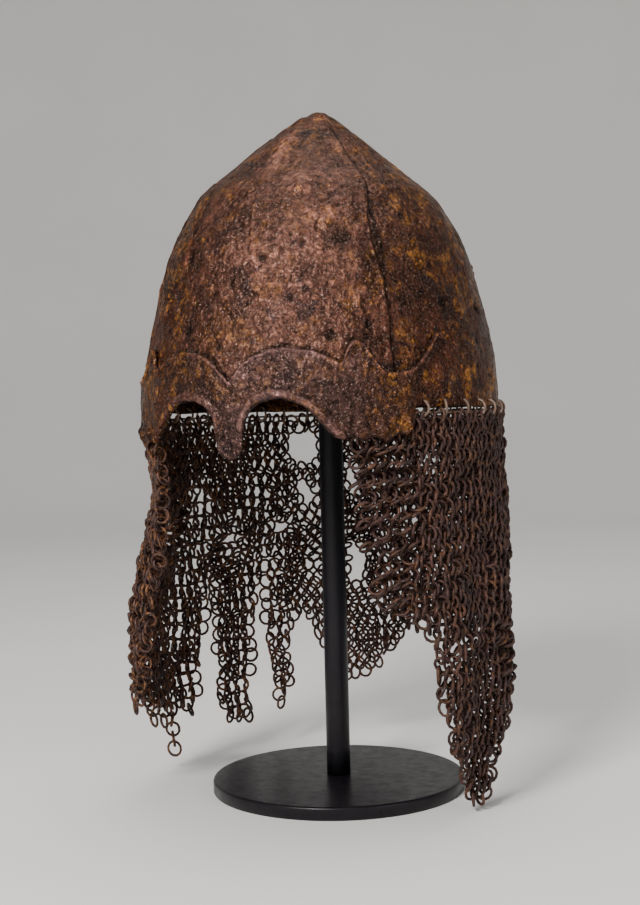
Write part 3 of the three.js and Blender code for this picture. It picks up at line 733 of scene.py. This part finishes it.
def brow_foot(turn):
    away = np.abs(turn)
    nose = RIM_HEIGHT - NASAL_DROP * straight(NASAL_EDGE, away / NASAL_TURN)
    beyond = RIM_HEIGHT - CHEEK_DROP * straight(EYE_EDGE + CHEEK_EDGE, away)
    return np.where(away <= NASAL_TURN, nose, beyond)


def brow_head(turn):
    return RIM_HEIGHT + BROW_RISE * straight(BROW_TOP, np.abs(turn))


def softened(function, turn, reach):
    return sum(function(turn + reach * step) for step in (-1, -0.6, -0.25, 0, 0.25, 0.6, 1)) / 7


def worn_edges(turns):
    """Heights of the mask's worn lower and upper edges."""
    away = np.abs(turns)
    corner = smooth(away, 50, 53) * (1 - smooth(away, 57, 59))
    cheek = smooth(away, 30, 36) * (1 - smooth(away, 54, 56))
    foot = softened(brow_foot, turns, 0.22 + 2.2 * corner)
    head = softened(brow_head, turns, 0.6)
    at_foot, at_head = skull_at(turns, foot), skull_at(turns, head)
    foot = foot + 0.4 * layered(at_foot, 6, 3, 12) + cheek * 1.5 * layered(at_foot, 5, 2, 14)
    for knob in CHEEK_KNOBS:
        foot = foot - 2.6 * bell(away, knob, 1.7)
    return foot, head + 0.6 * layered(at_head, 8, 3, 15)


def eye_distance(turn, height):
    scale = math.radians(1) * RIM_HALF_LENGTH
    edge = np.array([(t * scale, RIM_HEIGHT - CHEEK_DROP * fall) for t, fall in EYE_EDGE])
    return nearest_run(np.stack([np.abs(turn) * scale, height], -1), edge)


def brow_relief(points, eye, from_head):
    """How far the mask's worn face stands proud, and its painted light and shade."""
    band = 1 - smooth(eye, EYE_BAND_WIDTH - 2.4, EYE_BAND_WIDTH + 0.9)
    lip = smooth(eye, 0.0, 1.8)
    bead = bell(from_head, 1.7, 1.1) * (0.75 + 0.5 * noise(points, 7, 62))
    relief = EYE_BAND_HEIGHT * band * (0.4 + 0.6 * lip) * (1 + 0.25 * noise(points, 6, 5))
    relief = relief + 1.2 * bead + 0.4 * noise(points, 16, 61)
    relief = relief + 0.3 * layered(points, 6, 3, 64) + 0.4 * scabs(points, 6, 170)
    relief = relief - 0.6 * pits(points, 4.2, 0.55, 66) - 0.3 * pits(points, 2.4, 0.5, 68)
    # Painted highlights where the face stands proud and on the eye band's lip, painted shade in
    # hollows.
    shade = 0.5 + 0.3 * (relief - 0.4 * noise(points, 16, 61) - 0.8 * band) + 0.25 * band * lip
    # Painted highlight along the top bead, painted shadow right at the top edge.
    shade = shade + 0.6 * bell(from_head, 1.3, 1.1) - 0.3 * bell(from_head, 0, 0.5)
    return with_marks(relief, points, BROW_LUMPS, 2.4), shade


def brow_mask():
    runs = [np.linspace(0, 6, 34)[:-1], np.linspace(6, 31, 90)[:-1], np.linspace(31, 67.7, 140)]
    half, rows = np.concatenate(runs), 46
    turns = np.concatenate([-half[:0:-1], half])
    foot, head = worn_edges(turns)
    share = np.linspace(0, 1, rows)[None, :]
    height = foot[:, None] + (head - foot)[:, None] * share
    turn = turns[:, None] + 0 * share
    from_head, from_foot = head[:, None] - height, height - foot[:, None]
    points = skull_at(turn, height)
    relief, shade = brow_relief(points, eye_distance(turn, height), from_head)
    rounding = smooth(from_foot, 0, 1.1) * (0.25 + 0.75 * smooth(from_head, 0, 0.8))
    away = np.abs(turn)
    seat = GAP + LAYER * smooth(away, FRONT_SEAM + 0.4, FRONT_SEAM + 2.4)
    plate = GAP + BROW_PLATE + LAYER * smooth(away, FRONT_SEAM + 1, FRONT_SEAM + 16)
    thick = (plate - seat - 0.5 + relief) * (0.3 + 0.7 * rounding)
    outer = skull_point(turn, height, seat + 0.5 + thick)
    inner = skull_point(turn, height, seat - 0.15)
    settle(wall("brow_surface", outer, inner, BROW_IRON, shade), "brow_iron", "brow_plate")


brow_mask()


# Rings: one base ring, placed many times into one mesh.
def base_ring(radius, wire, around, sides):
    a, b = circle(around)[:, None], circle(sides)[None, :]
    reach = radius + wire / 2 * np.cos(b)
    points = np.stack([reach * np.cos(a), wire / 2 * np.sin(b) + 0 * a, reach * np.sin(a)], -1)
    index = np.arange(around * sides).reshape(around, sides)
    after, beside = np.roll(index, -1, axis=0), np.roll(index, -1, axis=1)
    quads = np.stack([index, beside, np.roll(after, -1, axis=1), after], -1).reshape(-1, 4)
    return points.reshape(-1, 3), quads


def about(axis, angle):
    """Rotation matrices about unit axes, one for each angle."""
    angle = np.asarray(angle, float)[..., None, None]
    quarter = np.cross(np.eye(3), np.asarray(axis, float)[..., None, :])
    return np.eye(3) + np.sin(angle) * quarter + (1 - np.cos(angle)) * (quarter @ quarter)


def uneven(points, amount, size, seed):
    """The points shaken by smooth noise along each axis."""
    return points + amount * np.stack([noise(points, size, seed + k) for k in range(3)], -1)


def ring_mesh(name, middles, frames, radius, wire, around, sides, material, rough):
    """frames are matrices whose columns are along, outward and up at each ring."""
    base, quads = base_ring(radius, wire, around, sides)
    count = len(middles)
    shaped = np.broadcast_to(base, (count, *base.shape)).copy()
    shaped[..., [0, 2]] *= 1 + rng.normal(0, 0.04, (count, 1, 2))
    points = np.einsum("nij,nkj->nki", frames, shaped) + middles[:, None, :]
    points = uneven(points, rough, 2.4, 80)
    faces = (quads[None] + (np.arange(count) * len(base))[:, None, None]).reshape(-1, 4)
    tint = np.repeat(np.clip(0.5 + 0.2 * rng.normal(0, 1, count), 0, 1), len(base))
    return add_mesh(name, points, faces, material, tint)


def wall_middle(turn):
    away = np.where(turn > 180, 360 - turn, turn)
    rear = smooth(away, REAR_SEAM - SEAM_OVERLAP, REAR_SEAM + SEAM_OVERLAP)
    return LAYER * (1 - rear) - SKULL_PLATE / 2


def surface_frame(turn, side=1):
    """Along (to the left, seen from outside), outward and up at a turn, as a matrix's columns."""
    normal = skull_normal(turn, RIM_HEIGHT - 20) * [side, 1, 1]
    up = np.broadcast_to([0.0, 0.0, 1.0], normal.shape)
    return np.stack([np.cross(normal, up), normal, up], -1)


def hanger_loops():
    side = FIRST_LOOP + LOOP_STEP * np.arange(LOOPS_EACH_SIDE)
    turns = np.concatenate([side, [180], 360 - side[::-1]])
    middles = skull_point(turns, RIM_HEIGHT, wall_middle(turns))
    middles[:, 2] = LOOP_MIDDLE
    frames = surface_frame(turns) @ about([0, 0, 1], np.pi / 2 + rng.normal(0, 0.2, len(turns)))
    frames = frames @ about([1, 0, 0], rng.normal(0, 0.05, len(turns)))
    piece = ring_mesh("hanger_loops", middles, frames, 1.14 * LOOP_RADIUS, 1.2 * LOOP_WIRE,
                      30, 8, LOOP_IRON, 0.14)
    settle(piece, "loop_iron", *[f"hanger_loop_{i + 1:02d}" for i in range(len(turns))])


def hanging_wire():
    start = FIRST_LOOP - 2.5
    turns = np.linspace(start, 360 - start, 280)
    path = skull_point(turns, RIM_HEIGHT - 5, wall_middle(turns))
    path[:, 2] = WIRE_HEIGHT + 0.25 * layered(path, 18, 2, 95)
    up, sides = np.array([0, 0, 1]), 10
    around = circle(sides)[:, None, None]
    out = unit(np.cross(np.gradient(path, axis=0), up)) * np.cos(around) + up * np.sin(around)
    points = uneven(path + HANGING_WIRE * 0.55 * out, 0.1, 3, 84)
    quads, ends = turned_faces(sides, len(path))
    piece = add_mesh("hanging_wire_surface", points, quads[:, ::-1], LOOP_IRON,
                     ends=[end[::-1] for end in ends])
    settle(piece, "loop_iron", "hanging_wire")


hanger_loops()
hanging_wire()

# Curtain of rings
RING_RADIUS = 4.5
RING_WIRE = 1.85
RING_TILT = math.radians(-8)
RING_SCATTER = [0.42, 0.42, 0.34]
ROW_PITCH = 4.5
LOWEST_RING = 10.4
MOST_TRIANGLES = 194000
CHAIN_DROP = 0.94 * (2 * RING_RADIUS - RING_WIRE)
TOP_RING_DROP = (LOOP_BOTTOM - GAP
                 - (WIRE_HEIGHT + HANGING_WIRE / 2 - RING_RADIUS + RING_WIRE / 2))
# By degrees from the nose: how far apart the rings of a row are.
LEFT_PITCH = [(38, 6.0), (50, 5.9), (56, 5.5), (104, 5.5), (118, 6.7), (180, 6.9)]
RIGHT_PITCH = [(38, 5.8), (60, 5.6), (86, 6.0), (104, 6.7), (180, 6.9)]
# By how far apart they are: how far each is turned, in radians.
RING_YAW = [(5.4, 0.86), (6.2, 0.72), (6.9, 0.6)]
# Where the rings tip the other way, in wavy rows: degrees, share of the length, their half
# sizes, the slant in degrees.
LEFT_WAVES = [
    (45, .26, 10, .3, -60), (92, .62, 9, .1, -66), (150, .3, 12, .1, -70), (118, .45, 8, .08, -60)]
RIGHT_WAVES = [
    (64, .62, 9, .12, 72), (112, .4, 8, .1, 78), (84, .3, 9, .08, 70), (156, .4, 9, .12, 80)]
# How far the left half's front edge sags, in mm for each degree before this turn.
FRONT_SAG = 0.55
FRONT_SAG_END = 58.0
# Loose chains at the foot: degrees, how many rings.
LEFT_CHAINS = [(78.5, 2), (66, 1), (96, 2), (134, 1)]
RIGHT_CHAINS = [(90, 5), (62, 1), (84, 1), (76, 1), (119, 1), (132.5, 1)]


def mail_swing(turn, depth, side):
    share = depth / MAIL_LENGTH
    fold = FOLD_DEPTH * np.sin(np.radians(turn * 13)) * smooth(share, 0.04, 0.35)
    if side > 0:
        curve = 0.62 * smooth(share, 0.12, 0.62) - 0.55 * smooth(share, 0.68, 0.95)
    else:
        curve = (smooth(share, 0.2, 0.6) - 0.35 * smooth(share, 0.03, 0.16)
                 + 0.35 * smooth(share, 0.2, 0.5))
    return MAIL_FLARE * curve * bell(turn, 70, 38) + fold


def mail_surface(turn, depth, side, aside):
    height = LOOP_BOTTOM - GAP - depth
    lift = wall_middle(turn) + mail_swing(turn, depth, side) + aside
    point = skull_point(turn, np.minimum(height, RIM_HEIGHT - 1), lift)
    point[..., 2] = height
    return point * [side, 1, 1]


def column_turns(start, pitch):
    """Turns of the weave's half columns, from the back to the front edge."""
    degree = math.radians(1) * 0.5 * (RIM_HALF_WIDTH + RIM_HALF_LENGTH)
    turn, turns = 180.0 - straight(pitch, 180) / 4 / degree, []
    while turn > start - 3:
        turns.append(turn)
        turn -= straight(pitch, turn) / 2 / degree
    return np.array(turns[:len(turns) // 2 * 2])


def weave(start, pitch, side):
    """Row, turn and depth of each place of the weave. Each row is half a ring aside of the last."""
    half_columns = column_turns(start, pitch)
    nearer, further = half_columns[1::2][::-1], half_columns[0::2][::-1]
    rows = int(MAIL_LENGTH / ROW_PITCH) + 2
    row = np.arange(rows)[:, None] + np.zeros(len(nearer), int)
    turn = np.where((row + (side < 0)) % 2 == 0, further, nearer)
    return row, turn, row * ROW_PITCH + TOP_RING_DROP


def linked(held, side):
    """How many of the four places that each place links with hold a ring."""
    framed = np.pad(held.astype(int), 1)
    near = framed[:-2] + framed[2:]
    odd = (np.arange(len(held)) + (side < 0))[:, None] % 2 == 1
    return near[:, 1:-1] + np.where(odd, near[:, :-2], near[:, 2:])


def kept_rings(turn, depth, edge, tears, side):
    """Which places still hold a ring that hangs, through others, from the wire or the mask."""
    place = np.stack([turn, depth * 0.3, 0 * turn], -1)
    ragged = 0.02 * layered(place, 5, 2, 200 + side)
    lowest = (straight(edge, turn) + ragged) * MAIL_LENGTH
    there = (depth + 0.3 * RING_RADIUS < lowest) & (turn > edge[0][0])
    under_cheek = turn < FIRST_LOOP - 3
    foot = LOOP_BOTTOM - depth
    there &= ~(under_cheek & (foot > softened(brow_foot, turn, 1.5) + 1))
    for middle, drop, across, high in tears:
        there &= ((turn - middle) / across) ** 2 + ((depth / MAIL_LENGTH - drop) / high) ** 2 >= 1
    there &= ~((rng.random(turn.shape) < 0.014) & (depth > 20))
    held = there & ((depth < ROW_PITCH * 0.9) | (under_cheek & (foot > 215)))
    while True:
        grown = there & (held | (linked(held, side) > 0))
        if (grown == held).all():
            return held
        held = grown


def sag_and_drift(turn, depth, side):
    """How far old mail has sunk (mm), crept along (degrees) and bulged (mm) at each place."""
    place = np.stack([turn * 2.0, depth, 0 * turn], -1)
    settled = smooth(depth, 5, 45)
    sag = 2.8 * noise(place, 24, 210 + side) * settled
    sag = sag + 1.3 * noise(place, 11, 215 + side) * settled
    if side > 0:
        sag = sag + FRONT_SAG * np.clip(FRONT_SAG_END - turn, 0, None) * smooth(depth, 0, 90)
    drift = 1.3 * noise(place, 26, 220 + side) + 0.6 * noise(place, 11, 225 + side)
    aside = 2.0 * noise(place, 17, 240 + side) + 1.0 * noise(place, 9, 245 + side)
    return sag, drift * settled, aside * settled


def wave_slant(turn, depth, waves):
    """How far the axis that rings are turned about leans from upright, in radians."""
    slant = np.zeros_like(turn)
    ragged = 0.3 * noise(np.stack([turn, depth * 0.5, 0 * turn], -1), 6, 230)
    for middle, drop, across, high, degrees in waves:
        away = np.hypot((turn - middle) / across, (depth / MAIL_LENGTH - drop) / high) + ragged
        slant = np.where(away < 1, np.radians(degrees), slant)
    return slant


def chain_rings(middles, turns, spots, side):
    """Rings that hang one from the next under the lowest ring near each spot."""
    out_middles, out_frames = [], []
    for degrees, count in spots:
        near = np.flatnonzero(np.abs(turns - degrees) < 2.6)
        lowest = near[np.argmin(middles[near, 2])]
        place, frame = middles[lowest], surface_frame(turns[[lowest]], side)[0]
        start = rng.uniform(0, 1)
        for i in range(count):
            place = place + [rng.normal(0, 0.5), rng.normal(0, 0.5), -CHAIN_DROP]
            if place[2] < LOWEST_RING:
                break
            out_middles.append(place)
            turned_by = about([0, 0, 1], start + (i % 2) * 1.35 + 0.2)
            out_frames.append(frame @ turned_by @ about([1, 0, 0], rng.normal(0, 0.12)))
    return np.array(out_middles), np.array(out_frames)


def links_of(middles, frames):
    """How many others each passes through: such a ring crosses their plane once inside them."""
    apart = np.linalg.norm(middles[:, None] - middles[None], axis=-1)
    ring, other = np.nonzero((apart > 0) & (apart < 2 * RING_RADIUS))
    along, outward, up = np.moveaxis(frames, -1, 0)
    axis = outward[other]
    reach_a = RING_RADIUS * np.einsum("ni,ni->n", along[ring], axis)
    reach_b = RING_RADIUS * np.einsum("ni,ni->n", up[ring], axis)
    off = np.einsum("ni,ni->n", middles[ring] - middles[other], axis)
    reach = np.hypot(reach_a, reach_b) + 1e-9
    inside = np.zeros(len(ring), int)
    for side in (-1, 1):
        angle = np.arctan2(reach_b, reach_a) + side * np.arccos(np.clip(-off / reach, -1, 1))
        angle = angle[:, None]
        crossing = middles[ring] + RING_RADIUS * (np.cos(angle) * along[ring]
                                                  + np.sin(angle) * up[ring])
        inside += np.linalg.norm(crossing - middles[other], axis=-1) < RING_RADIUS
    return np.bincount(ring[(inside == 1) & (np.abs(off) < reach)], minlength=len(middles))


def mail_half(part, side, edge, tears, pitch, waves, chains):
    """One half: side is 1 for the wearer's left, -1 for the right."""
    row, turn, depth = weave(edge[0][0], pitch, side)
    sag, drift, aside = sag_and_drift(turn, depth, side)
    held = kept_rings(turn, depth, edge, tears, side)
    wild = (0.75 + 0.35 * np.clip(4 - linked(held, side), 0, 3))[held]
    lean = np.where(row % 2 == 0, 1, -1)[held]
    spacing = straight(pitch, turn)[held]
    slant = wave_slant(turn, depth, waves)[held] * (depth[held] > 10)
    turns = (turn + drift)[held]
    count = len(turns)
    middles = mail_surface(turns, (depth + sag)[held], side, aside[held])
    middles = middles + rng.normal(0, 1, (count, 3)) * RING_SCATTER * wild[:, None]
    yaw = lean * (straight(RING_YAW, spacing) + 0.12 * (slant != 0))
    yaw = yaw + rng.normal(0, 0.24, count) * wild
    axes = np.stack([np.sin(slant), 0 * slant, np.cos(slant)], -1)
    frames = surface_frame(turns, side) @ about(axes, yaw)
    frames = frames @ about([1, 0, 0], RING_TILT + rng.normal(0, 0.17, count) * wild)
    more_middles, more_frames = chain_rings(middles, turns, chains, side)
    middles = np.concatenate([middles, more_middles])
    frames = np.concatenate([frames, more_frames])
    frames = frames @ about([0, 1, 0], rng.uniform(0, 2 * np.pi, len(middles)))
    held_fast = links_of(middles, frames) > 0
    middles, frames = middles[held_fast], frames[held_fast]
    around, sides = next((a, b) for a, b in ((12, 6), (12, 5), (11, 5), (10, 5))
                         if 2 * a * b * len(middles) < MOST_TRIANGLES)
    piece = ring_mesh(f"mail_{part}_rings", middles, frames, RING_RADIUS, RING_WIRE,
                      around, sides, MAIL_IRON, 0.2)
    settle(piece, "mail_iron", f"mail_{part}")


mail_half("left", 1, MAIL_LEFT_EDGE, MAIL_LEFT_TEARS, LEFT_PITCH, LEFT_WAVES, LEFT_CHAINS)
mail_half("right", -1, MAIL_RIGHT_EDGE, MAIL_RIGHT_TEARS, RIGHT_PITCH, RIGHT_WAVES, RIGHT_CHAINS)


# Stand
def stand_body(name, node, profile, around):
    radius, level = np.array(profile, float).T
    points = turned(around, radius, level) - HELMET_SHIFT
    quads, ends = turned_faces(around, len(radius))
    piece = add_mesh(name, points, quads, STAND_BLACK, ends=ends)
    for polygon in list(piece.data.polygons)[-2:]:
        polygon.use_smooth = False
    settle(piece, "stand_black", node)


def rounded(radius, height, reach, steps=6):
    """Quarter circle from the side of a turned body to its top, at this radius and height."""
    angle = np.linspace(0, math.pi / 2, steps)
    return [(radius - reach * (1 - math.cos(a)), height - reach * (1 - math.sin(a)))
            for a in angle]


def stand():
    lowest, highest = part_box("stand_post")
    levels = np.linspace(lowest[2] / MM, highest[2] / MM, 24)
    stand_body("post_surface", "stand_post", [(POST_WIDTH / 2, level) for level in levels], 64)
    side = [(BASE_RADIUS - 0.6, 0), (BASE_RADIUS, 0.6)]
    side = side + rounded(BASE_RADIUS, BASE_THICKNESS, 1.6)
    top = [(BASE_RADIUS - 2.0 - step, BASE_THICKNESS) for step in (0, 1, 20, 40, 60)]
    stand_body("base_surface", "stand_base", side + top, 160)
    pad = frame["nodes"]["stand_pad"]
    pad.data.materials.clear()
    pad.data.materials.append(STAND_BLACK)


stand()

# Floor, light and camera, in metres
FLOOR_REACH, FLOOR_BEND, FLOOR_HEIGHT = 3.4, 1.2, 2.4
SKY_COLOR = (1.0, 0.97, 0.93, 1)
SKY_STRENGTH = 0.27
# Lamps: name, where it is, where it looks, its side, its power, its colour.
LAMPS = [
    ("key", (-0.02, -1.35, 1.08), (0, 0, 0.28), 0.45, 34, (1.0, 0.97, 0.94)),
    ("fill", (1.6, -0.5, 0.7), (0, 0, 0.25), 0.6, 5, (0.95, 0.97, 1.0)),
    ("above", (0, 0.6, 2.6), (0, 0.6, 0), 1.8, 30, (1.0, 1.0, 1.0))]


def studio():
    """A pale floor that curves up far away on all sides, under an even sky."""
    around = 72
    angle = np.linspace(0, math.pi / 2, 14)
    bent = FLOOR_REACH - FLOOR_BEND + FLOOR_BEND * np.sin(angle)
    radius = np.concatenate([[0.3, 1.0, 2.0], bent, [FLOOR_REACH]])
    level = np.concatenate([[0, 0, 0], FLOOR_BEND * (1 - np.cos(angle)), [FLOOR_HEIGHT]])
    points = turned(around, radius, level) / MM - HELMET_SHIFT
    quads, ends = turned_faces(around, len(radius))
    material = pale_floor("floor_matt")
    add_mesh("floor", points, quads[:, ::-1], material, ends=[ends[0][::-1]])
    world = bpy.data.worlds.new("studio")
    bpy.context.scene.world = world
    world.use_nodes = True
    background = world.node_tree.nodes["Background"]
    background.inputs["Color"].default_value = SKY_COLOR
    background.inputs["Strength"].default_value = SKY_STRENGTH


def square_lamp(name, place, target, side, power, color):
    light = bpy.data.lights.new(name, "AREA")
    light.shape = "SQUARE"
    light.size = side
    light.energy = power
    light.color = color
    lamp = bpy.data.objects.new(name, light)
    lamp.location = place
    aim = Vector(target) - Vector(place)
    lamp.rotation_euler = aim.to_track_quat("-Z", "Y").to_euler()
    lamp.visible_camera = False
    bpy.context.scene.collection.objects.link(lamp)


studio()
for lamp_values in LAMPS:
    square_lamp(*lamp_values)

# The photograph's view: how far, how high and from which side, and where its middle looks.
VIEW_TURN = math.radians(26)
VIEW_DISTANCE = 0.9
VIEW_HEIGHT = 0.235
VIEW_PITCH = math.radians(1.394)
VIEW_ASIDE = -0.0037
VIEW_ROLL = math.radians(1.4)
FOCAL_PIXELS = 1418
FRAME_HEIGHT_PIXELS = 905


def photo_camera():
    data = bpy.data.cameras.new("photo_view")
    data.sensor_width = 36
    data.lens = FOCAL_PIXELS / FRAME_HEIGHT_PIXELS * data.sensor_width
    camera = bpy.data.objects.new("photo_view", data)
    bpy.context.scene.collection.objects.link(camera)
    axis = Vector(HELMET_SHIFT.tolist()) * MM
    toward = Vector((math.sin(VIEW_TURN), -math.cos(VIEW_TURN), 0))
    right = Vector((math.cos(VIEW_TURN), math.sin(VIEW_TURN), 0))
    camera.location = axis + toward * VIEW_DISTANCE + Vector((0, 0, VIEW_HEIGHT))
    drop = VIEW_DISTANCE * math.tan(VIEW_PITCH)
    target = axis + right * VIEW_ASIDE + Vector((0, 0, VIEW_HEIGHT - drop))
    aim = (target - camera.location).to_track_quat("-Z", "Y").to_matrix()
    camera.rotation_euler = (aim @ Matrix.Rotation(-VIEW_ROLL, 3, "Z")).to_euler()
    bpy.context.scene.camera = camera


photo_camera()

bpy.context.view_layer.update()
